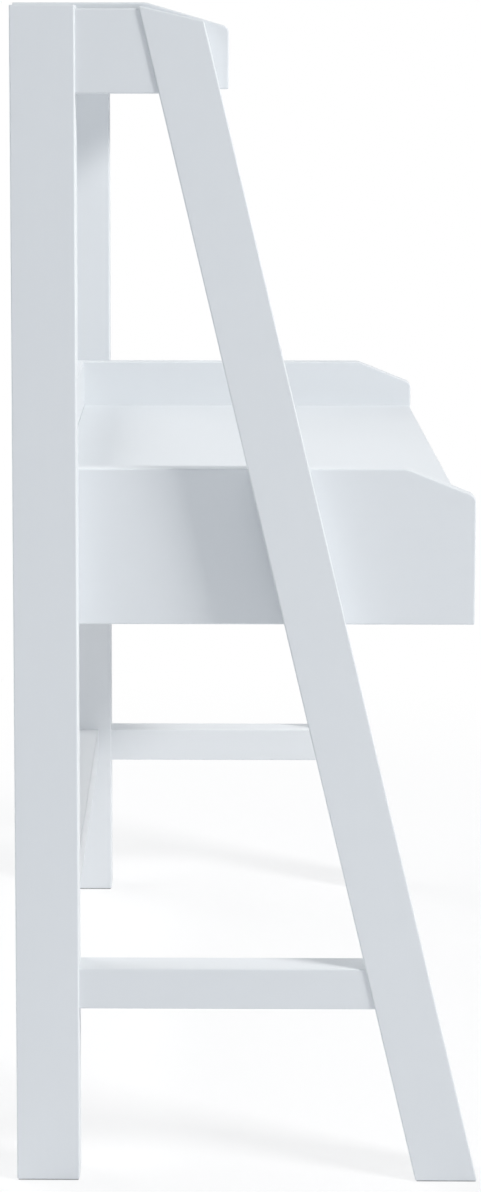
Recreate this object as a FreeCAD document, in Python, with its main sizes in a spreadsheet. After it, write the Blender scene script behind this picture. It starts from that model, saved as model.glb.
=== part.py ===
import FreeCAD, Part
import os
import re
import Sketcher

# A ladder desk of painted wood: two ladder frames, a desk box with a drawer, and a tray shelf.
# X runs from left to right, the front faces -Y, Z is up and the floor is at zero. All sizes are millimetres.
# A forward distance is measured from the back of the posts towards the front.

SIZES = {
    # the two ladder frames
    "overall_width": (914, "outside of one frame to outside of the other"),
    "full_height": (1357, "floor to the top of the shelf panels"),
    "post_top_drop": (3, "top of the shelf panels to the top of the posts"),
    "frame_thickness": (38, "posts and legs, across the desk"),
    "frame_edge": (1.8, "rounding on the edges of posts and legs"),
    "foot_edge": (1.5, "easing round the foot of a post or leg"),
    "post_depth": (72.5, "post, front to back"),
    "leg_reach": (532.3, "forward distance of the leg's front edge at the floor"),
    "leg_width": (71.4, "leg at the floor, measured level"),
    "leg_taper": (2.6, "how much narrower the leg is at the height of its top cut"),
    "leg_top_forward": (142.7, "forward distance of the leg's back corner at its top cut"),
    "leg_top_drop": (4, "top of the shelf panels to the leg's back corner at its top cut"),
    "leg_top_fall": (0.232, "how far the leg's top cut falls for each unit forward"),
    "rail_recess": (2.5, "step from the face of a post or leg to the face of a rail"),
    "rail_edge": (2, "rounding on the edges of the rails"),
    "top_rail_drop": (7, "top of the shelf panels to the top of the top rail"),
    "top_rail_depth": (94, "top rail, bottom to top"),
    "stretcher_bottom": (205, "height of the stretcher's lower face"),
    "stretcher_depth": (48, "stretcher and lower back rail, bottom to top"),
    # the desk box and the shelf
    "board": (19, "thickness of every panel"),
    "board_edge": (2, "rounding on the edges of the panels"),
    "panel_inset": (15.3, "forward distance of the back of the desk panels"),
    "gallery": (66, "how far the panels stand above the surface they border"),
    "corner_large": (27, "rounding where a panel's top begins to slope"),
    "corner_small": (9.5, "rounding at the front end of the slope"),
    "desk_height": (762, "height of the writing surface"),
    "desk_bottom": (647, "height of the lower edge of the desk box"),
    "desk_reach": (526.3, "forward distance of the desk panels' front"),
    "desk_slope_run": (78.5, "level length of the desk panels' slope"),
    "desk_slope_fall": (31.8, "fall of the desk panels' slope"),
    "shelf_inset": (0.5, "forward distance of the back of the shelf panels"),
    "shelf_depth": (97, "shelf panels, bottom to top"),
    "shelf_reach": (243.4, "forward distance of the shelf panels' front"),
    "shelf_slope_run": (92.7, "level length of the shelf panels' slope"),
    "shelf_slope_fall": (27.3, "fall of the shelf panels' slope"),
    "front_setback": (1.8, "boards stop this far behind the panels' front"),
    "board_ease": (1.5, "rounding on the edges of desktop and shelf board"),
    # the drawer
    "drawer_gap": (2, "gap round the drawer front"),
    "drawer_front_edge": (2, "rounding on the edges of the drawer front"),
    "drawer_wall": (12, "thickness of the drawer's sides and back"),
    "drawer_wall_edge": (1, "rounding on the edges of the drawer's sides and back"),
    "drawer_depth": (70, "drawer sides, bottom to top"),
    "drawer_back_room": (61.2, "desk back panel to the back end of the drawer"),
    "drawer_base": (4, "thickness of the drawer's bottom"),
    "drawer_base_rise": (10, "lower edge of the drawer side to the groove"),
    "groove_depth": (6, "depth of the groove for the drawer's bottom"),
    "groove_play": (0.2, "room for the drawer's bottom in its groove"),
    # the drawer slides
    "slide_width": (12.7, "room for one slide between panel and drawer"),
    "slide_depth": (45, "slide, bottom to top"),
    "slide_sheet": (1.2, "thickness of the slide's steel"),
    "slide_play": (0.3, "running gap between slide rails"),
    "slide_cabinet_reach": (10, "how far the cabinet rail's lips stand out"),
    "slide_middle_step": (3.4, "from the panel to the middle rail"),
    "slide_middle_reach": (7.6, "depth of the middle rail's channel"),
    "slide_drawer_reach": (7.3, "depth of the drawer rail's channel"),
    "slide_end_gap": (5, "each end of a slide to the end of the drawer side"),
    "slide_screw_end": (40, "slide's end to its first screw"),
    # knobs, screws, dowels, bolts and glides
    "knob_spacing": (400, "between the two knobs"),
    "knob_radius": (16, "knob head"),
    "knob_neck": (7, "radius of the knob's neck"),
    "knob_base": (9, "radius of the knob's foot"),
    "knob_length": (22, "how far a knob stands out"),
    "knob_head": (13, "thickness of the knob's head"),
    "knob_foot": (3, "thickness of the knob's foot"),
    "knob_edge": (5, "rounding on the edges of the knob's head"),
    "knob_screw_depth": (14, "how far the knob's screw goes in"),
    "screw_radius": (2, "screws of knobs and slides"),
    "screw_head": (4, "radius of the screw's head"),
    "screw_head_height": (1.6, "height of the screw's head"),
    "slide_screw_length": (12, "slide screw under its head"),
    "dowel_radius": (4, "frame and panel dowels"),
    "frame_dowel_length": (40, "frame dowel"),
    "panel_dowel_length": (30, "panel dowel"),
    "panel_dowel_depth": (10, "how far a panel dowel enters the side panel"),
    "dowel_spacing": (24, "between the two dowels of a stretcher"),
    "top_dowel_spacing": (46, "between the two dowels of a top rail"),
    "drawer_dowel_radius": (3, "drawer dowel"),
    "drawer_dowel_length": (24, "drawer dowel"),
    "drawer_dowel_depth": (9, "how far a drawer dowel enters the first piece"),
    "drawer_dowel_spacing": (36, "between the two dowels of a drawer corner"),
    "bolt_radius": (3, "bolt shank"),
    "bolt_length": (38, "bolt under its head"),
    "bolt_head": (7.5, "radius of the bolt's head"),
    "bolt_head_height": (3, "height of the bolt's head"),
    "bolt_socket": (2.3, "corner radius of the hexagon socket"),
    "bolt_socket_depth": (2, "depth of the hexagon socket"),
    "desk_bolt_edge": (12.5, "box edge to the desk bolts"),
    "post_bolt_clear": (4, "back panel to the heads of the bolts into the posts"),
    "insert_radius": (4.5, "threaded insert"),
    "insert_length": (15, "threaded insert"),
    "bolt_end_room": (4, "hole past the end of a bolt"),
    "fastener_play": (0.1, "room round a screw, dowel, bolt or insert"),
    "glide_inset": (1.5, "edge of the foot to the edge of its floor glide"),
    "glide_height": (1.2, "floor glide under the foot"),
    "glide_stem_radius": (3, "floor glide's stem"),
    "glide_stem_length": (15, "floor glide's stem"),
}

doc = FreeCAD.newDocument("ladder_desk")
sheet = doc.addObject("Spreadsheet::Sheet", "sizes")
for row, (alias, (number, note)) in enumerate(SIZES.items(), start=1):
    sheet.set(f"A{row}", str(number))
    sheet.setAlias(f"A{row}", alias)
    sheet.set(f"B{row}", note)
doc.recompute()

SIDES = {"left": "-1", "right": "1"}
NEAR = 0.1
pieces = []


def bound(expression):
    """The expression with each name of a size pointing at its cell."""
    return re.sub(r"[a-z]\w+", lambda word: f"sizes.{word[0]}", expression)


def value_of(expression):
    return float(sheet.evalExpression(bound(expression)))


# Places that several pieces share, as expressions of the sizes above.
DRAWER_FRONT_FACE = "(desk_reach - front_setback)"
TOTAL_DEPTH = f"({DRAWER_FRONT_FACE} + knob_length)"
FRAME_MIDDLE = "(overall_width / 2 - frame_thickness / 2)"
FRAME_INSIDE = "(overall_width / 2 - frame_thickness)"
PANEL_MIDDLE = f"({FRAME_INSIDE} - board / 2)"
PANEL_INSIDE = f"({FRAME_INSIDE} - board)"
RAIL_THICKNESS = "(frame_thickness - 2 * rail_recess)"
POST_MIDDLE = "(post_depth / 2)"
STRETCHER_MIDDLE = "(stretcher_bottom + stretcher_depth / 2)"
TOP_RAIL_BOTTOM = "(full_height - top_rail_drop - top_rail_depth)"
TOP_RAIL_MIDDLE = f"({TOP_RAIL_BOTTOM} + top_rail_depth / 2)"
POST_TOP = "(full_height - post_top_drop)"
LEG_TOP_HEIGHT = "(full_height - leg_top_drop)"
LEG_BACK_LEAN = f"((leg_reach - leg_width - leg_top_forward) / {LEG_TOP_HEIGHT})"
LEG_FRONT_LEAN = f"({LEG_BACK_LEAN} + leg_taper / {LEG_TOP_HEIGHT})"
BACK_PANEL_MIDDLE = "(panel_inset + board / 2)"
BACK_PANEL_FACE = "(panel_inset + board)"
SHELF_HEIGHT = "(full_height - gallery)"
SHELF_BOTTOM = "(full_height - shelf_depth)"
SHELF_BACK_MIDDLE = "(shelf_inset + board / 2)"
SHELF_BACK_FACE = "(shelf_inset + board)"
DESK_TOP = "(desk_height + gallery)"
DRAWER_BACK_FACE = f"({DRAWER_FRONT_FACE} - board)"
DRAWER_END = f"({BACK_PANEL_FACE} + drawer_back_room)"
DRAWER_LENGTH = f"({DRAWER_BACK_FACE} - {DRAWER_END})"
SLIDE_MIDDLE = "((desk_bottom + desk_height - board) / 2)"
DRAWER_BOTTOM_EDGE = f"({SLIDE_MIDDLE} - drawer_depth / 2)"
GROOVE_LEVEL = f"({DRAWER_BOTTOM_EDGE} + drawer_base_rise)"
DRAWER_OUTSIDE = f"({PANEL_INSIDE} - slide_width)"
DRAWER_INSIDE = f"({DRAWER_OUTSIDE} - drawer_wall)"
SLIDE_START = f"({DRAWER_END} + slide_end_gap)"
SLIDE_LENGTH = f"({DRAWER_LENGTH} - 2 * slide_end_gap)"


def forward(distance):
    """The Y coordinate of a forward distance: the whole depth is centred on zero."""
    return f"({TOTAL_DEPTH} / 2 - ({distance}))"


def leg_back(height):
    """The forward distance of the leg's back edge at a height."""
    return f"(leg_reach - leg_width - {LEG_BACK_LEAN} * ({height}))"


def leg_front(height):
    return f"(leg_reach - {LEG_FRONT_LEAN} * ({height}))"


def leg_middle(height):
    return f"(({leg_back(height)} + {leg_front(height)}) / 2)"


def origin_plane(body, role):
    return next(plane for plane in body.Origin.OriginFeatures if plane.Role == role)


def new_sketch(body, role, level):
    """An empty sketch on one of the body's own planes, moved to a level along the plane's normal."""
    sketch = body.newObject("Sketcher::SketchObject", f"{body.Name}_sketch")
    sketch.AttachmentSupport = [(origin_plane(body, role), "")]
    sketch.MapMode = "FlatFace"
    sketch.setExpression("AttachmentOffset.Base.z", bound(level))
    return sketch


def hold_point(sketch, geometry, point, across, up):
    """Holds a line's start, which is point 1, or a circle's centre, point 3, at its place from the origin."""
    for kind, place in (("DistanceX", across), ("DistanceY", up)):
        rule = Sketcher.Constraint(kind, -1, 1, geometry, point, value_of(place))
        number = sketch.addConstraint(rule)
        sketch.setExpression(f"Constraints[{number}]", bound(place))


def outline(sketch, corners):
    """A closed run of straight edges through corners, each held at its own place."""
    points = [FreeCAD.Vector(value_of(across), value_of(up), 0) for across, up in corners]
    for start, end in zip(points, points[1:] + points[:1]):
        sketch.addGeometry(Part.LineSegment(start, end))
    for index, (across, up) in enumerate(corners):
        following = (index + 1) % len(corners)
        sketch.addConstraint(Sketcher.Constraint("Coincident", index, 2, following, 1))
        hold_point(sketch, index, 1, across, up)


def rectangle(low_across, low_up, high_across, high_up):
    return [
        (low_across, low_up),
        (high_across, low_up),
        (high_across, high_up),
        (low_across, high_up),
    ]


def new_piece(label):
    body = doc.addObject("PartDesign::Body", label)
    body.Label = label
    pieces.append(body)
    return body


def extrude(body, role, level, corners, length):
    sketch = new_sketch(body, role, level)
    outline(sketch, corners)
    pad = body.newObject("PartDesign::Pad", f"{body.Name}_pad")
    pad.Profile = sketch
    pad.setExpression("Length", bound(length))
    doc.recompute()


def round_edges(body, radius, wanted=None):
    """Rounds every edge of the body so far, or those for which wanted is true."""
    base = body.Tip
    edges = base.Shape.Edges
    names = [f"Edge{n}" for n, edge in enumerate(edges, start=1) if wanted is None or wanted(edge)]
    fillet = body.newObject("PartDesign::Fillet", f"{body.Name}_round")
    fillet.Base = (base, names)
    fillet.setExpression("Radius", bound(radius))
    doc.recompute()


def cut(body, role, level, draw, length, along_normal):
    """A pocket from a level, towards the plane's normal or away from it, that must remove something."""
    before = body.Shape.Volume
    sketch = new_sketch(body, role, level)
    draw(sketch)
    pocket = body.newObject("PartDesign::Pocket", f"{body.Name}_pocket")
    pocket.Profile = sketch
    pocket.setExpression("Length", bound(length))
    pocket.Reversed = along_normal
    doc.recompute()
    if body.Shape.Volume >= before:
        raise ValueError(f"a pocket of {body.Label} cuts nothing")


def drill(body, role, level, centres, radius, depth, along_normal):
    """Round holes at centres, with room round what goes into them."""

    def draw(sketch):
        for index, (across, up) in enumerate(centres):
            middle = FreeCAD.Vector(value_of(across), value_of(up), 0)
            hole_radius = f"{radius} + fastener_play"
            sketch.addGeometry(Part.Circle(middle, FreeCAD.Vector(0, 0, 1), value_of(hole_radius)))
            hold_point(sketch, index, 3, across, up)
            rule = Sketcher.Constraint("Radius", index, value_of(hole_radius))
            number = sketch.addConstraint(rule)
            sketch.setExpression(f"Constraints[{number}]", bound(hole_radius))

    cut(body, role, level, draw, depth, along_normal)


def place(item, x, y, z):
    for axis, expression in zip("xyz", (x, y, z)):
        item.setExpression(f"Placement.Base.{axis}", bound(expression))


TURN_TO = {
    "x": FreeCAD.Rotation(FreeCAD.Vector(0, 1, 0), 90),
    "-x": FreeCAD.Rotation(FreeCAD.Vector(0, 1, 0), -90),
    "y": FreeCAD.Rotation(FreeCAD.Vector(1, 0, 0), -90),
    "-y": FreeCAD.Rotation(FreeCAD.Vector(1, 0, 0), 90),
    "z": FreeCAD.Rotation(),
}


def rod(radius, length, start, direction):
    """A plain round bar from a start point along one axis."""
    item = doc.addObject("Part::Cylinder", "rod")
    item.setExpression("Radius", bound(radius))
    item.setExpression("Height", bound(length))
    item.Placement.Rotation = TURN_TO[direction]
    place(item, *start)
    return item


def joined(items):
    item = doc.addObject("Part::MultiFuse", "joined")
    item.Shapes = items
    return item


def group(label, items):
    """Like pieces that share one node, each a solid of its own."""
    item = doc.addObject("Part::Compound", label)
    item.Label = label
    item.Links = items
    pieces.append(item)


def shifted(start, direction, distance):
    """A start point moved back against a direction."""
    sign = "+" if direction.startswith("-") else "-"
    axis = direction[-1]
    return tuple(f"{c} {sign} {distance}" if a == axis else c for a, c in zip("xyz", start))


def screw(length, start, direction):
    """A pan-head screw whose head sits on the surface at the start point."""
    shank = rod("screw_radius", length, start, direction)
    head = doc.addObject("Part::Cone", "head")
    head.setExpression("Radius1", bound("screw_head * 0.7"))
    head.setExpression("Radius2", bound("screw_head"))
    head.setExpression("Height", bound("screw_head_height"))
    head.Placement.Rotation = TURN_TO[direction]
    place(head, *shifted(start, direction, "screw_head_height"))
    return joined([head, shank])


# Back posts: upright bars with a stretcher, a top rail and the panels fixed to their inner and front faces.
STRETCHER_DOWELS = [
    f"({STRETCHER_MIDDLE} - dowel_spacing / 2)",
    f"({STRETCHER_MIDDLE} + dowel_spacing / 2)",
]
TOP_RAIL_DOWELS = [
    f"({TOP_RAIL_MIDDLE} - top_dowel_spacing / 2)",
    f"({TOP_RAIL_MIDDLE} + top_dowel_spacing / 2)",
]
RAIL_DOWELS = STRETCHER_DOWELS + TOP_RAIL_DOWELS
DESK_BOLTS = ["(desk_bottom + desk_bolt_edge)", "(desk_height - board - desk_bolt_edge)"]
SHELF_BOLTS = [f"(({SHELF_HEIGHT} + full_height - shelf_slope_fall) / 2)"]
BOX_BOLTS = DESK_BOLTS + SHELF_BOLTS
HALF_DOWEL = "frame_dowel_length / 2"
POST_BOLT = f"({BACK_PANEL_FACE} + post_bolt_clear + bolt_head)"
BOLT_HOLE_DEPTH = "bolt_length - board + bolt_end_room"
FLOOR_GAP = "glide_height"


def is_foot_edge(edge):
    return edge.BoundBox.ZMax < value_of(FLOOR_GAP) + value_of("foot_edge") / 2


def is_body_edge(edge):
    return not is_foot_edge(edge)


def drill_inner_face(body, sign, centres, radius, depth):
    """Holes into the inner face of a post or leg."""
    outward = sign == SIDES["right"]
    drill(body, "YZ_Plane", f"{sign} * {FRAME_INSIDE}", centres, radius, depth, outward)


def drill_foot(body, x, distance):
    centre = [(x, forward(distance))]
    drill(body, "XY_Plane", FLOOR_GAP, centre, "glide_stem_radius", "glide_stem_length", True)


for side, sign in SIDES.items():
    post = new_piece(f"{side}_back_post")
    post_outline = rectangle(forward("post_depth"), FLOOR_GAP, forward("0"), POST_TOP)
    start = f"{sign} * {FRAME_MIDDLE} - frame_thickness / 2"
    extrude(post, "YZ_Plane", start, post_outline, "frame_thickness")
    round_edges(post, "frame_edge", is_body_edge)
    round_edges(post, "foot_edge", is_foot_edge)
    rail_holes = [(f"{sign} * {FRAME_MIDDLE}", height) for height in RAIL_DOWELS]
    front_level = f"-{forward('post_depth')}"
    drill(post, "XZ_Plane", front_level, rail_holes, "dowel_radius", HALF_DOWEL, False)
    bolt_holes = [(forward(POST_BOLT), height) for height in BOX_BOLTS]
    drill_inner_face(post, sign, bolt_holes, "insert_radius", BOLT_HOLE_DEPTH)
    back_rail_holes = [(forward(POST_MIDDLE), height) for height in STRETCHER_DOWELS]
    drill_inner_face(post, sign, back_rail_holes, "dowel_radius", HALF_DOWEL)
    drill_foot(post, f"{sign} * {FRAME_MIDDLE}", POST_MIDDLE)

# Front legs: leaning bars with a level foot and a sloping top, a little narrower towards the top.
TOP_CUT_RUN = "(leg_reach - leg_top_forward)"
TOP_CUT_FALL = f"(leg_top_fall * {TOP_CUT_RUN})"
LEG_TOP_FRONT_HEIGHT = f"(({LEG_TOP_HEIGHT} - {TOP_CUT_FALL}) / (1 - leg_top_fall * {LEG_FRONT_LEAN}))"
for side, sign in SIDES.items():
    leg = new_piece(f"{side}_front_leg")
    leg_outline = [
        (forward(leg_front(FLOOR_GAP)), FLOOR_GAP),
        (forward(leg_back(FLOOR_GAP)), FLOOR_GAP),
        (forward("leg_top_forward"), LEG_TOP_HEIGHT),
        (forward(leg_front(LEG_TOP_FRONT_HEIGHT)), LEG_TOP_FRONT_HEIGHT),
    ]
    start = f"{sign} * {FRAME_MIDDLE} - frame_thickness / 2"
    extrude(leg, "YZ_Plane", start, leg_outline, "frame_thickness")
    round_edges(leg, "frame_edge", is_body_edge)
    round_edges(leg, "foot_edge", is_foot_edge)
    for height in RAIL_DOWELS:
        mouth = f"-{forward(leg_back(height) + f' - {HALF_DOWEL}')}"
        centre = [(f"{sign} * {FRAME_MIDDLE}", height)]
        drill(leg, "XZ_Plane", mouth, centre, "dowel_radius", "frame_dowel_length", True)
    bolt_holes = [(forward(leg_middle(height)), height) for height in BOX_BOLTS]
    drill_inner_face(leg, sign, bolt_holes, "insert_radius", BOLT_HOLE_DEPTH)
    drill_foot(leg, f"{sign} * {FRAME_MIDDLE}", leg_middle("glide_height + glide_stem_length / 2"))

# Top rails and stretchers: level bars between post and leg, their front end cut to the leg's lean.
RAILS = {
    "top_rail": (TOP_RAIL_BOTTOM, "top_rail_depth", TOP_RAIL_DOWELS),
    "stretcher": ("stretcher_bottom", "stretcher_depth", STRETCHER_DOWELS),
}
for side, sign in SIDES.items():
    for name, (bottom, depth, dowel_heights) in RAILS.items():
        rail = new_piece(f"{side}_{name}")
        top = f"({bottom} + {depth})"
        rail_outline = [
            (forward("post_depth"), bottom),
            (forward("post_depth"), top),
            (forward(leg_back(top)), top),
            (forward(leg_back(bottom)), bottom),
        ]
        start = f"{sign} * {FRAME_MIDDLE} - {RAIL_THICKNESS} / 2"
        extrude(rail, "YZ_Plane", start, rail_outline, RAIL_THICKNESS)
        round_edges(
            rail,
            "rail_edge",
            lambda edge: edge.BoundBox.ZLength < NEAR and edge.BoundBox.YLength > edge.BoundBox.XLength,
        )
        for height in dowel_heights:
            centre = [(f"{sign} * {FRAME_MIDDLE}", height)]
            drill(rail, "XZ_Plane", f"-{forward('post_depth')}", centre, "dowel_radius", HALF_DOWEL, True)
            deep_end = f"-{forward(leg_back(height) + f' - {HALF_DOWEL}')}"
            drill(rail, "XZ_Plane", deep_end, centre, "dowel_radius", "frame_dowel_length", True)

# Lower back rail: a level bar between the two posts.
back_rail = new_piece("lower_back_rail")
back_rail_outline = rectangle(
    forward(f"{POST_MIDDLE} + {RAIL_THICKNESS} / 2"),
    "stretcher_bottom",
    forward(f"{POST_MIDDLE} - {RAIL_THICKNESS} / 2"),
    "stretcher_bottom + stretcher_depth",
)
extrude(back_rail, "YZ_Plane", f"-{FRAME_INSIDE}", back_rail_outline, f"2 * {FRAME_INSIDE}")
round_edges(back_rail, "rail_edge", lambda edge: edge.BoundBox.XLength > value_of(FRAME_INSIDE))
back_rail_holes = [(forward(POST_MIDDLE), height) for height in STRETCHER_DOWELS]
for sign in SIDES.values():
    inward = sign == SIDES["left"]
    level = f"{sign} * {FRAME_INSIDE}"
    drill(back_rail, "YZ_Plane", level, back_rail_holes, "dowel_radius", HALF_DOWEL, inward)

# Side panels of the desk and of the shelf: boards whose top slopes down to a rounded front corner.
DESK_DOWELS = [
    (f"{BACK_PANEL_FACE} + 3 * board", "desk_height - board / 2"),
    (f"({BACK_PANEL_FACE} + {DRAWER_FRONT_FACE}) / 2", "desk_height - board / 2"),
    (f"{DRAWER_FRONT_FACE} - 3 * board", "desk_height - board / 2"),
]
DESK_BACK_DOWELS = [
    (BACK_PANEL_MIDDLE, "desk_bottom + 2 * board"),
    (BACK_PANEL_MIDDLE, f"{DESK_TOP} - 2 * board"),
]
SHELF_FRONT = "(shelf_reach - front_setback)"
SHELF_DOWELS = [
    (f"{SHELF_BACK_FACE} + 2 * board", f"{SHELF_HEIGHT} - board / 2"),
    (f"{SHELF_FRONT} - 2 * board", f"{SHELF_HEIGHT} - board / 2"),
]
SHELF_BACK_DOWELS = [(SHELF_BACK_MIDDLE, "full_height - 2 * board")]
SLIDE_SCREW_PLACES = [
    f"({SLIDE_START} + slide_screw_end)",
    f"({SLIDE_START} + {SLIDE_LENGTH} / 2)",
    f"({SLIDE_START} + {SLIDE_LENGTH} - slide_screw_end)",
]
BOXES = {
    "desk_panel": (
        ("panel_inset", "desk_bottom", DESK_TOP, "desk_reach", "desk_slope_run", "desk_slope_fall"),
        DESK_DOWELS + DESK_BACK_DOWELS,
        DESK_BOLTS,
    ),
    "shelf_panel": (
        ("shelf_inset", SHELF_BOTTOM, "full_height", "shelf_reach", "shelf_slope_run", "shelf_slope_fall"),
        SHELF_DOWELS + SHELF_BACK_DOWELS,
        SHELF_BOLTS,
    ),
}


def is_across_at(distance, height):
    """A test for the edge that runs across the board at a forward distance and height."""
    y = value_of(forward(distance))
    z = value_of(height)

    def wanted(edge):
        box = edge.BoundBox
        return abs(box.Center.y - y) < NEAR and abs(box.Center.z - z) < NEAR

    return wanted


for side, sign in SIDES.items():
    for name, (shape, dowel_places, bolt_heights) in BOXES.items():
        back, bottom, top, reach, run, fall = shape
        panel = new_piece(f"{side}_{name}")
        panel_outline = [
            (forward(back), bottom),
            (forward(back), top),
            (forward(f"{reach} - {run}"), top),
            (forward(reach), f"{top} - {fall}"),
            (forward(reach), bottom),
        ]
        start = f"{sign} * {PANEL_MIDDLE} - board / 2"
        extrude(panel, "YZ_Plane", start, panel_outline, "board")
        round_edges(panel, "corner_large", is_across_at(f"{reach} - {run}", top))
        round_edges(panel, "corner_small", is_across_at(reach, f"{top} - {fall}"))
        for distance in (back, reach):
            round_edges(panel, "board_edge", is_across_at(distance, bottom))
        round_edges(panel, "board_edge", is_across_at(back, top))
        round_edges(panel, "board_edge", lambda edge: edge.BoundBox.XLength < NEAR)
        outward = sign == SIDES["right"]
        inside = f"{sign} * {PANEL_INSIDE}"
        dowel_holes = [(forward(distance), height) for distance, height in dowel_places]
        drill(panel, "YZ_Plane", inside, dowel_holes, "dowel_radius", "panel_dowel_depth", outward)
        bolt_holes = [(forward(POST_BOLT), height) for height in bolt_heights]
        bolt_holes += [(forward(leg_middle(height)), height) for height in bolt_heights]
        drill(panel, "YZ_Plane", inside, bolt_holes, "bolt_radius", "board", outward)
        if name == "desk_panel":
            screw_holes = [(forward(distance), SLIDE_MIDDLE) for distance in SLIDE_SCREW_PLACES]
            screw_depth = "slide_screw_length - slide_sheet"
            drill(panel, "YZ_Plane", inside, screw_holes, "screw_radius", screw_depth, outward)

# Boards between the side panels: desktop, shelf board and the two back panels.
BOARDS = {
    "desktop": (
        (DRAWER_FRONT_FACE, "desk_height - board", BACK_PANEL_FACE, "desk_height"),
        "board_ease",
        DESK_DOWELS,
    ),
    "desk_back_panel": (
        (BACK_PANEL_FACE, "desk_bottom", "panel_inset", DESK_TOP),
        "board_edge",
        DESK_BACK_DOWELS,
    ),
    "shelf_board": (
        (SHELF_FRONT, f"{SHELF_HEIGHT} - board", SHELF_BACK_FACE, SHELF_HEIGHT),
        "board_ease",
        SHELF_DOWELS,
    ),
    "shelf_back_panel": (
        (SHELF_BACK_FACE, SHELF_BOTTOM, "shelf_inset", "full_height"),
        "board_edge",
        SHELF_BACK_DOWELS,
    ),
}
DOWEL_IN_BOARD = "panel_dowel_length - panel_dowel_depth"
for name, ((front, bottom, back, top), edge_radius, dowel_places) in BOARDS.items():
    wide_board = new_piece(name)
    board_outline = rectangle(forward(front), bottom, forward(back), top)
    extrude(wide_board, "YZ_Plane", f"-{PANEL_INSIDE}", board_outline, f"2 * {PANEL_INSIDE}")
    round_edges(wide_board, edge_radius, lambda edge: edge.BoundBox.XLength > value_of(PANEL_INSIDE))
    dowel_holes = [(forward(distance), height) for distance, height in dowel_places]
    for sign in SIDES.values():
        inward = sign == SIDES["left"]
        level = f"{sign} * {PANEL_INSIDE}"
        drill(wide_board, "YZ_Plane", level, dowel_holes, "dowel_radius", DOWEL_IN_BOARD, inward)

# Drawer front: a board set between the panels, grooved for the bottom and drilled for knobs and dowels.
CORNER_DOWELS = [
    f"({SLIDE_MIDDLE} - drawer_dowel_spacing / 2 + drawer_base)",
    f"({SLIDE_MIDDLE} + drawer_dowel_spacing / 2 + drawer_base)",
]
SIDE_WALL_MIDDLE = f"({DRAWER_OUTSIDE} - drawer_wall / 2)"
DOWEL_IN_WALL = "drawer_dowel_length - drawer_dowel_depth"
GROOVE_TOP = f"({GROOVE_LEVEL} + drawer_base + groove_play)"
KNOB_PLACES = ["-knob_spacing / 2", "knob_spacing / 2"]
drawer_front = new_piece("drawer_front")
front_outline = rectangle(
    f"-{PANEL_INSIDE} + drawer_gap",
    "desk_bottom + drawer_gap",
    f"{PANEL_INSIDE} - drawer_gap",
    "desk_height - board - drawer_gap",
)
extrude(drawer_front, "XZ_Plane", f"-{forward(DRAWER_BACK_FACE)}", front_outline, "board")
round_edges(drawer_front, "drawer_front_edge")
groove_outline = rectangle(
    f"-{DRAWER_INSIDE} - groove_depth",
    GROOVE_LEVEL,
    f"{DRAWER_INSIDE} + groove_depth",
    GROOVE_TOP,
)
front_inside = f"-{forward(DRAWER_BACK_FACE)}"
cut(
    drawer_front,
    "XZ_Plane",
    front_inside,
    lambda sketch: outline(sketch, groove_outline),
    "groove_depth",
    True,
)
corner_holes = [
    (f"{sign} * {SIDE_WALL_MIDDLE}", height) for sign in SIDES.values() for height in CORNER_DOWELS
]
drill(drawer_front, "XZ_Plane", front_inside, corner_holes, "drawer_dowel_radius", "drawer_dowel_depth", True)
knob_holes = [(x, SLIDE_MIDDLE) for x in KNOB_PLACES]
drill(drawer_front, "XZ_Plane", front_inside, knob_holes, "screw_radius", "board", True)

# Drawer sides: grooved boards behind the drawer front, one rail of a slide on each.
BACK_WALL_MIDDLE = f"({DRAWER_END} + drawer_wall / 2)"
for side, sign in SIDES.items():
    wall = new_piece(f"{side}_drawer_side")
    wall_outline = rectangle(
        forward(DRAWER_BACK_FACE),
        DRAWER_BOTTOM_EDGE,
        forward(DRAWER_END),
        f"{DRAWER_BOTTOM_EDGE} + drawer_depth",
    )
    start = f"{sign} * {SIDE_WALL_MIDDLE} - drawer_wall / 2"
    extrude(wall, "YZ_Plane", start, wall_outline, "drawer_wall")
    half_length = value_of(DRAWER_LENGTH) / 2
    round_edges(wall, "drawer_wall_edge", lambda edge: edge.BoundBox.YLength > half_length)
    groove = rectangle(
        forward(DRAWER_BACK_FACE),
        GROOVE_LEVEL,
        forward(f"{DRAWER_END} + drawer_wall - groove_depth"),
        GROOVE_TOP,
    )
    outward = sign == SIDES["right"]
    inside = f"{sign} * {DRAWER_INSIDE}"
    cut(wall, "YZ_Plane", inside, lambda sketch: outline(sketch, groove), "groove_depth", outward)
    end_holes = [(f"{sign} * {SIDE_WALL_MIDDLE}", height) for height in CORNER_DOWELS]
    drill(wall, "XZ_Plane", front_inside, end_holes, "drawer_dowel_radius", DOWEL_IN_WALL, False)
    back_holes = [(forward(BACK_WALL_MIDDLE), height) for height in CORNER_DOWELS]
    drill(wall, "YZ_Plane", inside, back_holes, "drawer_dowel_radius", "drawer_dowel_depth", outward)
    screw_holes = [(forward(distance), SLIDE_MIDDLE) for distance in SLIDE_SCREW_PLACES]
    outside = f"{sign} * {DRAWER_OUTSIDE}"
    screw_depth = "slide_screw_length - slide_sheet"
    drill(wall, "YZ_Plane", outside, screw_holes, "screw_radius", screw_depth, not outward)

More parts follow.
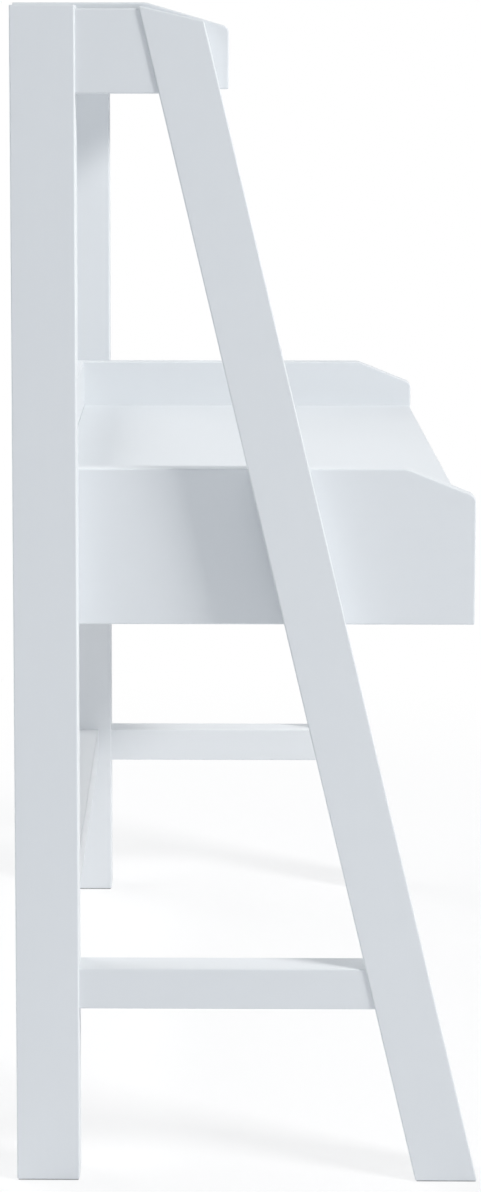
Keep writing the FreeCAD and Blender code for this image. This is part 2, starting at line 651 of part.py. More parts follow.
# Drawer back: a grooved board between the sides.
drawer_back = new_piece("drawer_back")
back_outline = rectangle(
    forward(f"{DRAWER_END} + drawer_wall"),
    DRAWER_BOTTOM_EDGE,
    forward(DRAWER_END),
    f"{DRAWER_BOTTOM_EDGE} + drawer_depth",
)
extrude(drawer_back, "YZ_Plane", f"-{DRAWER_INSIDE}", back_outline, f"2 * {DRAWER_INSIDE}")
round_edges(drawer_back, "drawer_wall_edge", lambda edge: edge.BoundBox.XLength > value_of(DRAWER_INSIDE))
back_groove = rectangle(f"-{DRAWER_INSIDE}", GROOVE_LEVEL, DRAWER_INSIDE, GROOVE_TOP)
back_face = f"-{forward(f'{DRAWER_END} + drawer_wall')}"
cut(
    drawer_back,
    "XZ_Plane",
    back_face,
    lambda sketch: outline(sketch, back_groove),
    "groove_depth",
    False,
)
back_holes = [(forward(BACK_WALL_MIDDLE), height) for height in CORNER_DOWELS]
for sign in SIDES.values():
    inward = sign == SIDES["left"]
    level = f"{sign} * {DRAWER_INSIDE}"
    drill(drawer_back, "YZ_Plane", level, back_holes, "drawer_dowel_radius", DOWEL_IN_WALL, inward)

# Drawer bottom: a thin sheet that sits in the grooves all round.
drawer_bottom = new_piece("drawer_bottom")
sheet_edge = "(groove_depth - groove_play)"
bottom_outline = rectangle(
    f"-{DRAWER_INSIDE} - {sheet_edge}",
    forward(f"{DRAWER_BACK_FACE} + {sheet_edge}"),
    f"{DRAWER_INSIDE} + {sheet_edge}",
    forward(f"{DRAWER_END} + drawer_wall - {sheet_edge}"),
)
extrude(drawer_bottom, "XY_Plane", GROOVE_LEVEL, bottom_outline, "drawer_base")

# Knobs: turned wood with a foot, a neck and a rounded head, each held by a screw from inside the drawer.
FRONT_FACE_Y = forward(DRAWER_FRONT_FACE)
for side, sign in SIDES.items():
    knob = new_piece(f"{side}_knob")
    knob.Placement.Rotation = TURN_TO["-y"]
    place(knob, f"{sign} * knob_spacing / 2", FRONT_FACE_Y, SLIDE_MIDDLE)
    profile = new_sketch(knob, "XZ_Plane", "0")
    head_start = "(knob_length - knob_head)"
    outline(
        profile,
        [
            ("screw_radius + fastener_play", "0"),
            ("knob_base", "0"),
            ("knob_base", "knob_foot"),
            ("knob_neck", "knob_foot"),
            ("knob_neck", head_start),
            ("knob_radius", head_start),
            ("knob_radius", "knob_length"),
            ("screw_radius + fastener_play", "knob_length"),
        ],
    )
    turned = knob.newObject("PartDesign::Revolution", f"{knob.Name}_turned")
    turned.Profile = profile
    turned.ReferenceAxis = (profile, ["V_Axis"])
    turned.Angle = 360
    doc.recompute()
    core = new_sketch(knob, "XY_Plane", "knob_screw_depth")
    core.addGeometry(Part.Circle(FreeCAD.Vector(), FreeCAD.Vector(0, 0, 1), value_of("knob_neck")))
    core.addConstraint(Sketcher.Constraint("Coincident", 0, 3, -1, 1))
    number = core.addConstraint(Sketcher.Constraint("Radius", 0, value_of("knob_neck")))
    core.setExpression(f"Constraints[{number}]", bound("knob_neck"))
    filled = knob.newObject("PartDesign::Pad", f"{knob.Name}_filled")
    filled.Profile = core
    filled.setExpression("Length", bound("knob_length - knob_screw_depth"))
    doc.recompute()
    head_width = 2 * value_of("knob_radius")
    round_edges(knob, "knob_edge", lambda edge: abs(edge.BoundBox.XLength - head_width) < NEAR)

# Drawer slides: three nested steel channels on each side. The lips of each channel run inside the next one's.
def channel(label, sign, back, lip, half_height):
    """A steel channel along the drawer. Its back and its lips' ends are distances from the side panel."""
    rail = new_piece(label)
    towards = "1" if sign == SIDES["left"] else "-1"
    panel_face = f"{sign} * {PANEL_INSIDE}"
    opening = "1" if value_of(lip) > value_of(back) else "-1"

    def across(distance):
        return f"{panel_face} + {towards} * ({distance})"

    inner_back = f"{back} + {opening} * slide_sheet"
    inner_half = f"({half_height} - slide_sheet)"
    section = [
        (across(back), f"{SLIDE_MIDDLE} - {half_height}"),
        (across(lip), f"{SLIDE_MIDDLE} - {half_height}"),
        (across(lip), f"{SLIDE_MIDDLE} - {inner_half}"),
        (across(inner_back), f"{SLIDE_MIDDLE} - {inner_half}"),
        (across(inner_back), f"{SLIDE_MIDDLE} + {inner_half}"),
        (across(lip), f"{SLIDE_MIDDLE} + {inner_half}"),
        (across(lip), f"{SLIDE_MIDDLE} + {half_height}"),
        (across(back), f"{SLIDE_MIDDLE} + {half_height}"),
    ]
    extrude(rail, "XZ_Plane", f"-{forward(SLIDE_START)}", section, SLIDE_LENGTH)
    return rail


CABINET_HALF = "(slide_depth / 2)"
MIDDLE_HALF = f"({CABINET_HALF} - slide_sheet - slide_play)"
DRAWER_RAIL_HALF = f"({MIDDLE_HALF} - slide_sheet - slide_play)"
screw_holes = [(forward(distance), SLIDE_MIDDLE) for distance in SLIDE_SCREW_PLACES]
for side, sign in SIDES.items():
    outward = sign == SIDES["right"]
    cabinet_rail = channel(f"{side}_slide_cabinet_rail", sign, "0", "slide_cabinet_reach", CABINET_HALF)
    wall_face = f"{sign} * {PANEL_INSIDE}"
    drill(cabinet_rail, "YZ_Plane", wall_face, screw_holes, "screw_radius", "slide_sheet", not outward)
    middle_lip = "slide_middle_step + slide_middle_reach"
    channel(f"{side}_slide_middle_rail", sign, "slide_middle_step", middle_lip, MIDDLE_HALF)
    drawer_lip = "slide_width - slide_drawer_reach"
    drawer_rail = channel(f"{side}_slide_drawer_rail", sign, "slide_width", drawer_lip, DRAWER_RAIL_HALF)
    wall_face = f"{sign} * {DRAWER_OUTSIDE}"
    drill(drawer_rail, "YZ_Plane", wall_face, screw_holes, "screw_radius", "slide_sheet", outward)

# Screws of the slides and of the knobs.
cabinet_screws = []
drawer_screws = []
for sign in SIDES.values():
    to_panel, to_drawer = ("-x", "x") if sign == SIDES["left"] else ("x", "-x")
    for distance in SLIDE_SCREW_PLACES:
        y = forward(distance)
        panel_start = (f"{sign} * ({PANEL_INSIDE} - slide_sheet)", y, SLIDE_MIDDLE)
        cabinet_screws.append(screw("slide_screw_length", panel_start, to_panel))
        drawer_start = (f"{sign} * ({DRAWER_OUTSIDE} + slide_sheet)", y, SLIDE_MIDDLE)
        drawer_screws.append(screw("slide_screw_length", drawer_start, to_drawer))
group("slide_cabinet_screws", cabinet_screws)
group("slide_drawer_screws", drawer_screws)
knob_start_y = forward(DRAWER_BACK_FACE)
knob_screw_length = "board + knob_screw_depth - screw_radius"
knob_screws = [screw(knob_screw_length, (x, knob_start_y, SLIDE_MIDDLE), "-y") for x in KNOB_PLACES]
group("knob_screws", knob_screws)

# Dowels of the frames: two at each end of every rail.
frame_dowels = []
for sign in SIDES.values():
    x = f"{sign} * {FRAME_MIDDLE}"
    for height in RAIL_DOWELS:
        for joint in ("post_depth", leg_back(height)):
            start_y = forward(f"{joint} - {HALF_DOWEL}")
            frame_dowels.append(rod("dowel_radius", "frame_dowel_length", (x, start_y, height), "-y"))
    for height in STRETCHER_DOWELS:
        start_x = f"{sign} * {FRAME_INSIDE} - {HALF_DOWEL}"
        start = (start_x, forward(POST_MIDDLE), height)
        frame_dowels.append(rod("dowel_radius", "frame_dowel_length", start, "x"))
group("frame_dowels", frame_dowels)

# Dowels of the panels, from each side panel into the boards between them.
panel_dowels = []
for sign in SIDES.values():
    direction = "x" if sign == SIDES["left"] else "-x"
    start_x = f"{sign} * ({PANEL_INSIDE} + panel_dowel_depth)"
    for distance, height in DESK_DOWELS + DESK_BACK_DOWELS + SHELF_DOWELS + SHELF_BACK_DOWELS:
        start = (start_x, forward(distance), height)
        panel_dowels.append(rod("dowel_radius", "panel_dowel_length", start, direction))
group("panel_dowels", panel_dowels)

# Dowels of the drawer's corners.
drawer_dowels = []
for sign in SIDES.values():
    direction = "x" if sign == SIDES["left"] else "-x"
    front_start_y = forward(f"{DRAWER_BACK_FACE} + drawer_dowel_depth")
    back_start_x = f"{sign} * ({DRAWER_INSIDE} + drawer_dowel_depth)"
    for height in CORNER_DOWELS:
        front_start = (f"{sign} * {SIDE_WALL_MIDDLE}", front_start_y, height)
        drawer_dowels.append(rod("drawer_dowel_radius", "drawer_dowel_length", front_start, "y"))
        back_start = (back_start_x, forward(BACK_WALL_MIDDLE), height)
        drawer_dowels.append(rod("drawer_dowel_radius", "drawer_dowel_length", back_start, direction))
group("drawer_dowels", drawer_dowels)


# Bolts that hold the desk box and the shelf to the frames, and the threaded inserts they turn into.
def bolt(start, direction):
    shank = rod("bolt_radius", "bolt_length", start, direction)
    head_start = shifted(start, direction, "bolt_head_height")
    head = rod("bolt_head", "bolt_head_height", head_start, direction)
    socket = doc.addObject("Part::Prism", "socket")
    socket.Polygon = 6
    socket.setExpression("Circumradius", bound("bolt_socket"))
    socket.setExpression("Height", bound("bolt_socket_depth"))
    socket.Placement.Rotation = TURN_TO[direction]
    place(socket, *head_start)
    item = doc.addObject("Part::Cut", "bolt")
    item.Base = joined([head, shank])
    item.Tool = socket
    return item


def insert(start, direction):
    item = doc.addObject("Part::Cut", "insert")
    item.Base = rod("insert_radius", "insert_length", start, direction)
    item.Tool = rod("bolt_radius + fastener_play", "insert_length", start, direction)
    return item


bolts = []
inserts = []
for sign in SIDES.values():
    direction = "-x" if sign == SIDES["left"] else "x"
    for height in BOX_BOLTS:
        for distance in (POST_BOLT, leg_middle(height)):
            y = forward(distance)
            bolts.append(bolt((f"{sign} * {PANEL_INSIDE}", y, height), direction))
            inserts.append(insert((f"{sign} * {FRAME_INSIDE}", y, height), direction))
group("frame_bolts", bolts)
group("insert_nuts", inserts)

# Floor glides: a thin pad under each foot, on a stem pressed into the wood.
LEG_STEM = leg_middle("glide_height + glide_stem_length / 2")
LEG_FOOT_DEPTH = f"({leg_front('glide_height')} - {leg_back('glide_height')})"
FEET = [("0", "post_depth", POST_MIDDLE), (leg_back("glide_height"), LEG_FOOT_DEPTH, LEG_STEM)]
glides = []
for sign in SIDES.values():
    for foot_back, foot_depth, stem_place in FEET:
        x = f"{sign} * {FRAME_MIDDLE}"
        pad = doc.addObject("Part::Box", "pad")
        pad.setExpression("Length", bound("frame_thickness - 2 * glide_inset"))
        pad.setExpression("Width", bound(f"{foot_depth} - 2 * glide_inset"))
        pad.setExpression("Height", bound("glide_height"))
        pad_front = forward(f"{foot_back} + {foot_depth} - glide_inset")
        place(pad, f"{x} - frame_thickness / 2 + glide_inset", pad_front, "0")
        stem_start = (x, forward(stem_place), "glide_height")
        stem = rod("glide_stem_radius", "glide_stem_length", stem_start, "z")
        glides.append(joined([pad, stem]))
group("foot_glides", glides)

doc.recompute()
for item in doc.Objects:
    if {"Invalid", "Error"} & set(item.State):
        raise ValueError(f"{item.Label} failed: {item.State}")
for piece in pieces:
    if piece.Shape.isNull() or not piece.Shape.isValid():
        raise ValueError(f"{piece.Label} has no valid shape")

os.makedirs("parts", exist_ok=True)
for piece in pieces:
    piece.Shape.exportStep(f"parts/{piece.Label}.step")
print(f"{len(pieces)} pieces written")
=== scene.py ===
import math

import bpy
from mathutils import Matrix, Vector


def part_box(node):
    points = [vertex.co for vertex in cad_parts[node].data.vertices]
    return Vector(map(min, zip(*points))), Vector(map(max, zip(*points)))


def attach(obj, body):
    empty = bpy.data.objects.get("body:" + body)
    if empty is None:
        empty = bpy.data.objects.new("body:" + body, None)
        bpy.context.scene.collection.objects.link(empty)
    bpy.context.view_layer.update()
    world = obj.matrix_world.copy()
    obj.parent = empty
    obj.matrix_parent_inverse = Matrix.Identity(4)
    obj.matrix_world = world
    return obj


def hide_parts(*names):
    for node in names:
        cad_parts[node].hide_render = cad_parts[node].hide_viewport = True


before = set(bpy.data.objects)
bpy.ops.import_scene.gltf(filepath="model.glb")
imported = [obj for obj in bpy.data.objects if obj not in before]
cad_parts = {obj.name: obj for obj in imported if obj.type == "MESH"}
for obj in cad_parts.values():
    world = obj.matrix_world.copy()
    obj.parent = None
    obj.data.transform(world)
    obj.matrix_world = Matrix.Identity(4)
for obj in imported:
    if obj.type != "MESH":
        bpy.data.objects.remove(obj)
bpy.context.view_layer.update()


# Back posts: two upright bars of solid wood with rounded edges, sprayed in satin white.
# The rails are dowelled into them, and the desk and shelf boxes are bolted to their inner faces.
class Wire:
    """A socket in a tree of nodes, so that maths on values reads as plain sums."""

    def __init__(self, recipe, socket):
        self.recipe = recipe
        self.socket = socket

    def maths(self, operation, first, second):
        return self.recipe.node("ShaderNodeMath", {"operation": operation}, {0: first, 1: second})["Value"]

    def __add__(self, other):
        return self.maths("ADD", self, other)

    def __rsub__(self, other):
        return self.maths("SUBTRACT", other, self)

    def __mul__(self, other):
        return self.maths("MULTIPLY", self, other)

    def __pow__(self, other):
        return self.maths("POWER", self, other)

    __radd__ = __add__
    __rmul__ = __mul__


class Recipe:
    """The tree of nodes of a material or of the world while it is put together."""

    def __init__(self, owner):
        owner.use_nodes = True
        self.owner = owner
        self.tree = owner.node_tree
        self.tree.nodes.clear()

    def node(self, kind, settings=None, sockets=None):
        """Adds a node: its settings first, then the values or wires of its sockets.

        A socket is named, or numbered where several have the same name. Gives the node's outputs by name.
        """
        made = self.tree.nodes.new(kind)
        for name, value in (settings or {}).items():
            setattr(made, name, value)
        in_use = [socket for socket in made.inputs if socket.enabled]
        inputs = {socket.name: socket for socket in in_use} | dict(enumerate(in_use))
        for key, value in (sockets or {}).items():
            if isinstance(value, Wire):
                self.tree.links.new(value.socket, inputs[key])
            else:
                inputs[key].default_value = value
        return {output.name: Wire(self, output) for output in made.outputs if output.enabled}

    def noise(self, per_metre, detail=2.0):
        """A soft pattern from 0 to 1, with so many spots to the metre along X, Y and Z."""
        own_place = self.node("ShaderNodeTexCoord")["Object"]
        stretched = self.node("ShaderNodeMapping", {}, {"Vector": own_place, "Scale": per_metre})["Vector"]
        sockets = {"Vector": stretched, "Scale": 1.0, "Detail": detail}
        return self.node("ShaderNodeTexNoise", {}, sockets)["Fac"]

    def ramp(self, value, start, end, low=0.0):
        """Goes smoothly from low to 1 while a value goes from start to end."""
        sockets = {"Value": value, "From Min": start, "From Max": end, "To Min": low, "To Max": 1.0}
        return self.node("ShaderNodeMapRange", {"interpolation_type": "SMOOTHSTEP"}, sockets)["Result"]

    def blend(self, share, first, second):
        """A colour between two colours."""
        sockets = {"Factor": share, "A": first, "B": second}
        return self.node("ShaderNodeMix", {"data_type": "RGBA"}, sockets)["Result"]

    def bump(self, height, depth, strength, under=None):
        """A surface direction that follows a pattern as deep as depth, over another one if it is given."""
        sockets = {"Height": height, "Distance": depth, "Strength": strength}
        if under:
            sockets["Normal"] = under
        return self.node("ShaderNodeBump", {}, sockets)["Normal"]

    def surface(self, sockets):
        """Ends a material with its shader, and gives the material."""
        shader = self.node("ShaderNodeBsdfPrincipled", {}, sockets)["BSDF"]
        self.node("ShaderNodeOutputMaterial", {}, {"Surface": shader})
        return self.owner


PAINT = (0.800, 0.822, 0.841, 1)
PAINT_SHADED = (0.781, 0.804, 0.825, 1)
PAINT_GLOSS = 0.3
PAINT_ROUGHNESS = 0.44
CLOUDS_PER_METRE = 4
CLOUDS_IN_COLOUR = 0.65
CLOUDS_IN_ROUGHNESS = 0.10
GRAIN_ALONG = 5
GRAIN_ACROSS = 240
GRAIN_IN_COLOUR = 0.35
GRAIN_DEPTH = 0.00008
GRAIN_STRENGTH = 0.15
PEEL_PER_METRE = 800
PEEL_IN_ROUGHNESS = 0.08
PEEL_DEPTH = 0.00004
PEEL_STRENGTH = 0.25


def even_scale(per_metre):
    """The same number of spots to the metre along X, Y and Z."""
    return (per_metre, per_metre, per_metre)


def grain_scale(along, across, axis):
    """Spots to the metre along X, Y and Z for a pattern that is drawn out along one axis."""
    return tuple(along if name == axis else across for name in "xyz")


def white_paint(name, grain_axis):
    """Satin white over sanded wood: a fine sprayed peel, and grain that shows faintly along one axis."""
    paint = Recipe(bpy.data.materials.new(name))
    grain = paint.noise(grain_scale(GRAIN_ALONG, GRAIN_ACROSS, grain_axis), detail=4.0)
    clouds = paint.noise(even_scale(CLOUDS_PER_METRE))
    peel = paint.noise(even_scale(PEEL_PER_METRE), detail=1.0)
    filled_grain = paint.bump(grain, GRAIN_DEPTH, GRAIN_STRENGTH)
    light_share = GRAIN_IN_COLOUR * grain + CLOUDS_IN_COLOUR * clouds
    return paint.surface({
        "Base Color": paint.blend(light_share, PAINT_SHADED, PAINT),
        "Roughness": PAINT_ROUGHNESS + CLOUDS_IN_ROUGHNESS * clouds + PEEL_IN_ROUGHNESS * peel,
        "Specular IOR Level": PAINT_GLOSS,
        "Normal": paint.bump(peel, PEEL_DEPTH, PEEL_STRENGTH, filled_grain),
    })


def dress(finish, *names):
    """Gives CAD nodes their finish in place of the plain one."""
    for name in names:
        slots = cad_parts[name].data.materials
        slots.clear()
        slots.append(finish)


upright_white = white_paint("satin_white_upright", "z")
dress(upright_white, "left_back_post", "right_back_post")

# Front legs: leaning bars of the posts' stock, a little narrower towards the top.
# They have a level foot and a sloping top cut, and carry the front of both boxes.
# The grain runs up the leg under the same paint.
dress(upright_white, "left_front_leg", "right_front_leg")

# Top rails and stretchers: thinner bars dowelled between post and leg, with the grain from back to front.
# Their faces lie a little behind those of posts and legs, so a line of shade follows each joint.
lengthwise_white = white_paint("satin_white_lengthwise", "y")
dress(lengthwise_white, "left_top_rail", "right_top_rail", "left_stretcher", "right_stretcher")

# Lower back rail: a bar of the stretchers' stock, dowelled between the two posts.
# It keeps the frames apart and the desk square, and its grain runs across.
crosswise_white = white_paint("satin_white_crosswise", "x")
dress(crosswise_white, "lower_back_rail")

# Dowels of frames, boxes and drawer: plain beech pins, glued into both pieces of a joint.
# Nothing of them shows once the desk is put together.
WOOD_PALE = (0.67, 0.49, 0.30, 1)
WOOD_BROWN = (0.43, 0.265, 0.135, 1)
LACQUER_ROUGHNESS = 0.34
BANDS_ALONG = 1.8
BANDS_START = 0.36
BANDS_END = 0.6
BANDS_IN_COLOUR = 0.55
PORES_ALONG = 30
PORES_ACROSS = 1400
PORES_IN_COLOUR = 0.25
PORES_IN_ROUGHNESS = 0.2
PORE_DEPTH = 0.00006
PORE_STRENGTH = 0.4
STAINS_PER_METRE = 9
STAINS_IN_COLOUR = 0.2
PIN_BANDS_ACROSS = 300


def lacquered_wood(name, grain_axis, bands_across):
    """Pale wood under clear lacquer: bands of early and late wood along the grain, and fine pores."""
    wood = Recipe(bpy.data.materials.new(name))
    streaks = wood.noise(grain_scale(BANDS_ALONG, bands_across, grain_axis), detail=4.0)
    bands = wood.ramp(streaks, BANDS_START, BANDS_END)
    pores = wood.noise(grain_scale(PORES_ALONG, PORES_ACROSS, grain_axis))
    stains = wood.noise(even_scale(STAINS_PER_METRE))
    pale_share = BANDS_IN_COLOUR * bands + PORES_IN_COLOUR * pores + STAINS_IN_COLOUR * stains
    return wood.surface({
        "Base Color": wood.blend(pale_share, WOOD_BROWN, WOOD_PALE),
        "Roughness": LACQUER_ROUGHNESS + PORES_IN_ROUGHNESS * pores,
        "Normal": wood.bump(pores, PORE_DEPTH, PORE_STRENGTH),
    })


dress(lacquered_wood("beech_pins", "x", PIN_BANDS_ACROSS), "frame_dowels", "panel_dowels", "drawer_dowels")

# Floor glides: thin pads of grey nylon under the feet, each on a stem that is pressed into the wood.
# They lift the wood a little off the floor. Their grey is partly painted shadow: it stands in for the contact
# shadow under each foot and shows as a dark line there.
# The pads' grey is partly the nylon's own colour and partly painted shadow, darkened so that each pad stands
# in for the contact shadow under its foot.
NYLON_SHADOW_DARK = (0.290, 0.295, 0.300, 1)
NYLON_SHADOW_PALE = (0.370, 0.375, 0.380, 1)
NYLON_ROUGHNESS = 0.42
SPECKS_PER_METRE = 900
SPECKS_IN_ROUGHNESS = 0.2
SPECK_DEPTH = 0.00003
SPECK_STRENGTH = 0.3
shadow_nylon = Recipe(bpy.data.materials.new("nylon_painted_contact_shadow"))
specks = shadow_nylon.noise(even_scale(SPECKS_PER_METRE))
nylon_painted_contact_shadow = shadow_nylon.surface({
    "Base Color": shadow_nylon.blend(specks, NYLON_SHADOW_DARK, NYLON_SHADOW_PALE),
    "Roughness": NYLON_ROUGHNESS + SPECKS_IN_ROUGHNESS * specks,
    "Normal": shadow_nylon.bump(specks, SPECK_DEPTH, SPECK_STRENGTH),
})
dress(nylon_painted_contact_shadow, "foot_glides")

# Desk box: two side panels whose tops slope down to the front, a back panel and the writing surface.
# All are boards with rounded edges, dowelled together, painted like the frames and bolted to them.
dress(lengthwise_white, "left_desk_panel", "right_desk_panel")
dress(crosswise_white, "desk_back_panel", "desktop")

# Tray shelf: a smaller box of the same boards at the top of the frames.
# Its sides and back stand above the shelf board and keep things from rolling off.
dress(lengthwise_white, "left_shelf_panel", "right_shelf_panel")
dress(crosswise_white, "shelf_back_panel", "shelf_board")

# Bolts and inserts: flat headed bolts of zinc plated steel with a hexagon socket.
# They are turned into threaded inserts in the frames, and their heads show on the inner sides of the panels.
ZINC_BRIGHT = (0.74, 0.74, 0.73, 1)
ZINC_DULL = (0.56, 0.57, 0.58, 1)
ZINC_ROUGHNESS = 0.24
SPANGLE_IN_COLOUR = 0.6
SPANGLE_IN_ROUGHNESS = 0.14
LINES_ALONG = 12
LINES_ACROSS = 1500
LINES_IN_COLOUR = 0.4
LINES_IN_ROUGHNESS = 0.12
BOLT_SPANGLE_PER_METRE = 260


def zinc(name, rolled_axis, spangle_per_metre):
    """Zinc plated steel: a faint spangle, and fine lines along the way the steel was rolled or turned."""
    plated = Recipe(bpy.data.materials.new(name))
    spangle = plated.noise(even_scale(spangle_per_metre))
    lines = plated.noise(grain_scale(LINES_ALONG, LINES_ACROSS, rolled_axis))
    bright_share = SPANGLE_IN_COLOUR * spangle + LINES_IN_COLOUR * lines
    return plated.surface({
        "Base Color": plated.blend(bright_share, ZINC_DULL, ZINC_BRIGHT),
        "Metallic": 1.0,
        "Roughness": ZINC_ROUGHNESS + SPANGLE_IN_ROUGHNESS * spangle + LINES_IN_ROUGHNESS * lines,
    })


turned_zinc = zinc("zinc_plated_bolts", "x", BOLT_SPANGLE_PER_METRE)
dress(turned_zinc, "frame_bolts", "insert_nuts")

# Drawer slides: three nested channels of rolled, zinc plated steel on each side of the drawer.
# One rail is screwed to the desk panel, one to the drawer, and the middle one travels half as far.
SLIDE_SPANGLE_PER_METRE = 130
rolled_zinc = zinc("zinc_plated_slides", "y", SLIDE_SPANGLE_PER_METRE)
for side in ("left", "right"):
    dress(rolled_zinc, f"{side}_slide_cabinet_rail", f"{side}_slide_middle_rail", f"{side}_slide_drawer_rail")
dress(turned_zinc, "slide_cabinet_screws", "slide_drawer_screws")

# Drawer box: sides and back of lacquered wood, dowelled at the corners, and a thin board let into a groove.
# The board is hardboard with a white facing.
DRAWER_BANDS_ACROSS = 110
FACING_WHITE = (0.78, 0.78, 0.77, 1)
FACING_GREY = (0.71, 0.71, 0.70, 1)
FACING_ROUGHNESS = 0.46
FIBRES_PER_METRE = 420
FIBRES_IN_ROUGHNESS = 0.16
FIBRE_DEPTH = 0.00003
FIBRE_STRENGTH = 0.3
side_wood = lacquered_wood("drawer_wood_lengthwise", "y", DRAWER_BANDS_ACROSS)
dress(side_wood, "left_drawer_side", "right_drawer_side")
dress(lacquered_wood("drawer_wood_crosswise", "x", DRAWER_BANDS_ACROSS), "drawer_back")
hardboard = Recipe(bpy.data.materials.new("white_faced_hardboard"))
fibres = hardboard.noise(even_scale(FIBRES_PER_METRE), detail=4.0)
white_facing = hardboard.surface({
    "Base Color": hardboard.blend(fibres, FACING_GREY, FACING_WHITE),
    "Roughness": FACING_ROUGHNESS + FIBRES_IN_ROUGHNESS * fibres,
    "Normal": hardboard.bump(fibres, FIBRE_DEPTH, FIBRE_STRENGTH),
})
dress(white_facing, "drawer_bottom")

# Drawer front: a painted board that closes the desk box, set just behind the front of the panels.
# It has the same rounded edges and paint as the other boards.
dress(crosswise_white, "drawer_front")

# Knobs: turned from solid wood with a foot, a waist and a domed head, and painted like the drawer front.
# Each one stands on the front, and a screw from inside the drawer holds it.
# The profile gives the distance from the front and the radius of each turned ring, in millimetres.
MILLIMETRE = 0.001
KNOB_PROFILE = [
    (0.0, 8.2),
    (0.5, 9.0),
    (2.2, 9.0),
    (3.0, 8.3),
    (5.0, 6.9),
    (7.2, 7.1),
    (9.2, 10.0),
    (10.8, 14.4),
    (12.6, 16.1),
    (15.4, 16.2),
    (17.6, 15.0),
    (18.4, 13.9),
    (18.6, 13.2),
    (19.6, 11.6),
    (21.2, 7.0),
    (21.9, 2.6),
]
KNOB_SIDES = 40
KNOB_SUBDIVISIONS = 2
KNOB_CREASE = math.radians(35)


def turned_knob(name, node):
    """A knob turned ring by ring from its foot outwards, where the CAD knob is."""
    low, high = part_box(node)
    middle_x = (low[0] + high[0]) / 2
    middle_z = (low[2] + high[2]) / 2
    front_face = high[1]
    bpy.ops.object.select_all(action="DESELECT")
    reach, radius = KNOB_PROFILE[0]
    bpy.ops.mesh.primitive_circle_add(
        vertices=KNOB_SIDES,
        radius=radius * MILLIMETRE,
        fill_type="NGON",
        location=(middle_x, front_face, middle_z),
        rotation=(math.pi / 2, 0, 0),
    )
    knob = bpy.context.object
    knob.name = name
    bpy.ops.object.mode_set(mode="EDIT")
    bpy.ops.mesh.select_all(action="SELECT")
    for next_reach, next_radius in KNOB_PROFILE[1:]:
        step = (0, -(next_reach - reach) * MILLIMETRE, 0)
        bpy.ops.mesh.extrude_region_move(TRANSFORM_OT_translate={"value": step})
        share = next_radius / radius
        centre = (middle_x, front_face - next_reach * MILLIMETRE, middle_z)
        bpy.ops.transform.resize(value=(share, 1, share), center_override=centre)
        reach, radius = next_reach, next_radius
    bpy.ops.mesh.select_all(action="SELECT")
    bpy.ops.mesh.normals_make_consistent(inside=False)
    bpy.ops.object.mode_set(mode="OBJECT")
    bpy.ops.object.transform_apply(location=True, rotation=True, scale=True)
    smooth = knob.modifiers.new("smooth", "SUBSURF")
    smooth.levels = KNOB_SUBDIVISIONS
    smooth.render_levels = KNOB_SUBDIVISIONS
    bpy.ops.object.modifier_apply(modifier=smooth.name)
    bpy.ops.object.shade_smooth_by_angle(angle=KNOB_CREASE)
    knob.data.materials.append(crosswise_white)
    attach(knob, "drawer")
    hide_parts(node)


turned_knob("turned_knob_left", "left_knob")
turned_knob("turned_knob_right", "right_knob")
dress(turned_zinc, "knob_screws")

# Studio floor: a pale matt floor that runs out of sight in all directions.
# The camera sees it as white away from the desk, and near the desk it keeps a faint shadow.
FLOOR_SIZE = 18.0
FLOOR_COLOUR = (0.95, 0.95, 0.96, 1)
FLOOR_WHITE = 0.74
SHADOW_REACH = 0.5
FLOOR_FADED = 1.6
WHITE = (1, 1, 1, 1)


def shows_background(recipe):
    """1 for rays that show the surround: from the camera, off gloss and through glass."""
    rays = recipe.node("ShaderNodeLightPath")
    return rays["Is Camera Ray"] + rays["Is Glossy Ray"] + rays["Is Transmission Ray"]


bpy.ops.object.select_all(action="DESELECT")
bpy.ops.mesh.primitive_plane_add(size=FLOOR_SIZE)
floor = bpy.context.object
floor.name = "studio_floor"
floor_paint = Recipe(bpy.data.materials.new("studio_floor_white"))
matt = floor_paint.node("ShaderNodeBsdfDiffuse", {}, {"Color": FLOOR_COLOUR})["BSDF"]
plain = floor_paint.node("ShaderNodeEmission", {}, {"Color": WHITE, "Strength": 1.0})["Emission"]
floor_place = floor_paint.node("ShaderNodeTexCoord")["Object"]
distance = floor_paint.node("ShaderNodeVectorMath", {"operation": "LENGTH"}, {"Vector": floor_place})["Value"]
fade = floor_paint.ramp(distance, SHADOW_REACH, FLOOR_FADED, low=FLOOR_WHITE)
plain_share = fade * shows_background(floor_paint)
both = floor_paint.node("ShaderNodeMixShader", {}, {"Fac": plain_share, 1: matt, 2: plain})["Shader"]
floor_paint.node("ShaderNodeOutputMaterial", {}, {"Surface": both})
floor.data.materials.append(floor_paint.owner)

# Studio surround: soft light from both sides of the desk and from overhead, and a little from the front.
# The camera, gloss and glass see it as plain white.
SKY_NEAR = 0.56
SKY_FAR = 0.54
SKY_FRONT = 0.06
SKY_OVERHEAD = 0.36
SKY_OVERHEAD_FOCUS = 6
SKY_TINT = (0.93, 1.0, 1.08, 1)
surround = Recipe(bpy.data.worlds.new("studio_surround"))
direction = surround.node("ShaderNodeTexCoord")["Generated"]
towards = surround.node("ShaderNodeSeparateXYZ", {}, {"Vector": direction})


def above_zero(wire):
    """The part of a value above zero."""
    return surround.node("ShaderNodeMath", {"operation": "MAXIMUM"}, {0: wire, 1: 0.0})["Value"]


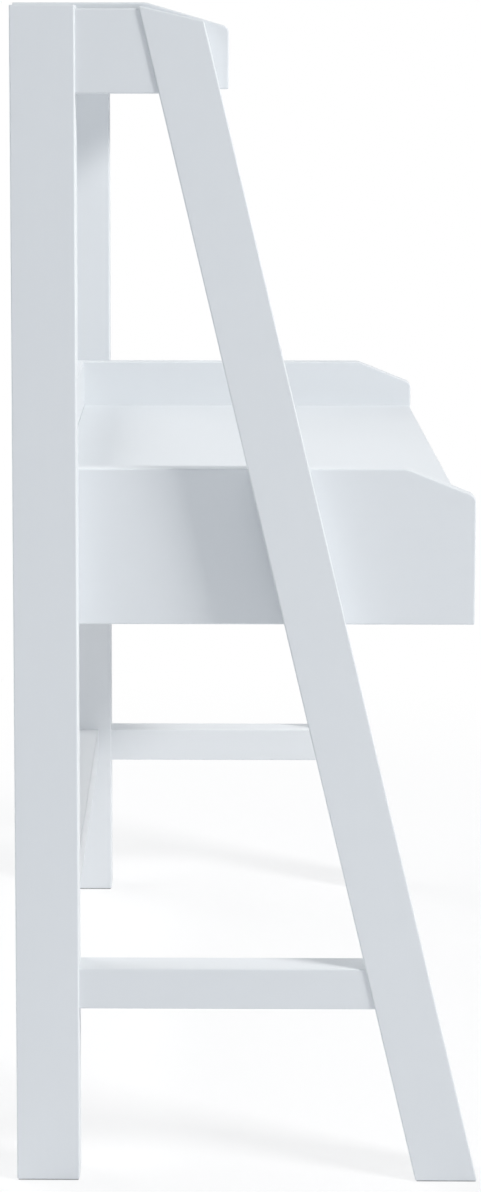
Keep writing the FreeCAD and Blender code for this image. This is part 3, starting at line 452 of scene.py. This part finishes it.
sides = SKY_NEAR * above_zero(0 - towards["X"]) + SKY_FAR * above_zero(towards["X"])
overhead = SKY_OVERHEAD * above_zero(towards["Z"]) ** SKY_OVERHEAD_FOCUS
glow = sides + SKY_FRONT * above_zero(0 - towards["Y"]) + overhead
shown = shows_background(surround)
sky_sockets = {"Color": surround.blend(shown, SKY_TINT, WHITE), "Strength": glow * (1 - shown) + shown}
sky = surround.node("ShaderNodeBackground", {}, sky_sockets)["Background"]
surround.node("ShaderNodeOutputWorld", {}, {"Surface": sky})
bpy.context.scene.world = surround.owner

# Studio lamps: a square key lamp high in front of the desk, on the camera's side.
# A larger and weaker one behind the desk fills the shade. Both are soft and almost white.
LAMP_TINT = (1.01, 1.0, 0.985)


def lamp(name, spot, target, size, watts):
    """A square soft lamp that faces a target."""
    light = bpy.data.lights.new(name, "AREA")
    light.size = size
    light.energy = watts
    light.color = LAMP_TINT
    holder = bpy.data.objects.new(name, light)
    bpy.context.scene.collection.objects.link(holder)
    holder.location = spot
    holder.rotation_euler = (Vector(target) - Vector(spot)).to_track_quat("-Z", "Y").to_euler()


lamp("front_key", spot=(-2.54, -4.85, 4.79), target=(0, 0, 0.75), size=1.3, watts=304)
lamp("back_fill", spot=(0.8, 2.9, 2.2), target=(0, 0, 0.5), size=2.6, watts=72)

# Camera: beside the left frame, almost as high as its top and looking slightly down across the desk.
# Its shift takes in the lower part of the desk, so that posts and legs stay nearly upright in the picture.
PICTURE_HEIGHT = 1192
FOCAL_PIXELS = 2226.3
SENSOR = 36.0
TILT = math.radians(5.32)
YAW = math.radians(-0.45)
CAMERA_SPOT = (-2.9206, 0.05595, 1.3276)
SHIFT_ACROSS = 0.0439
SHIFT_UP = -0.302
photo_camera = bpy.data.cameras.new("photo_camera")
photo_camera.sensor_width = SENSOR
photo_camera.lens = SENSOR * FOCAL_PIXELS / PICTURE_HEIGHT
photo_camera.shift_x = SHIFT_ACROSS
photo_camera.shift_y = SHIFT_UP
camera = bpy.data.objects.new("photo_camera", photo_camera)
bpy.context.scene.collection.objects.link(camera)
camera.location = CAMERA_SPOT
look = Vector((math.cos(YAW) * math.cos(TILT), -math.sin(YAW) * math.cos(TILT), -math.sin(TILT)))
camera.rotation_euler = look.to_track_quat("-Z", "Y").to_euler()
bpy.context.scene.camera = camera
bpy.context.scene.view_settings.view_transform = "Standard"
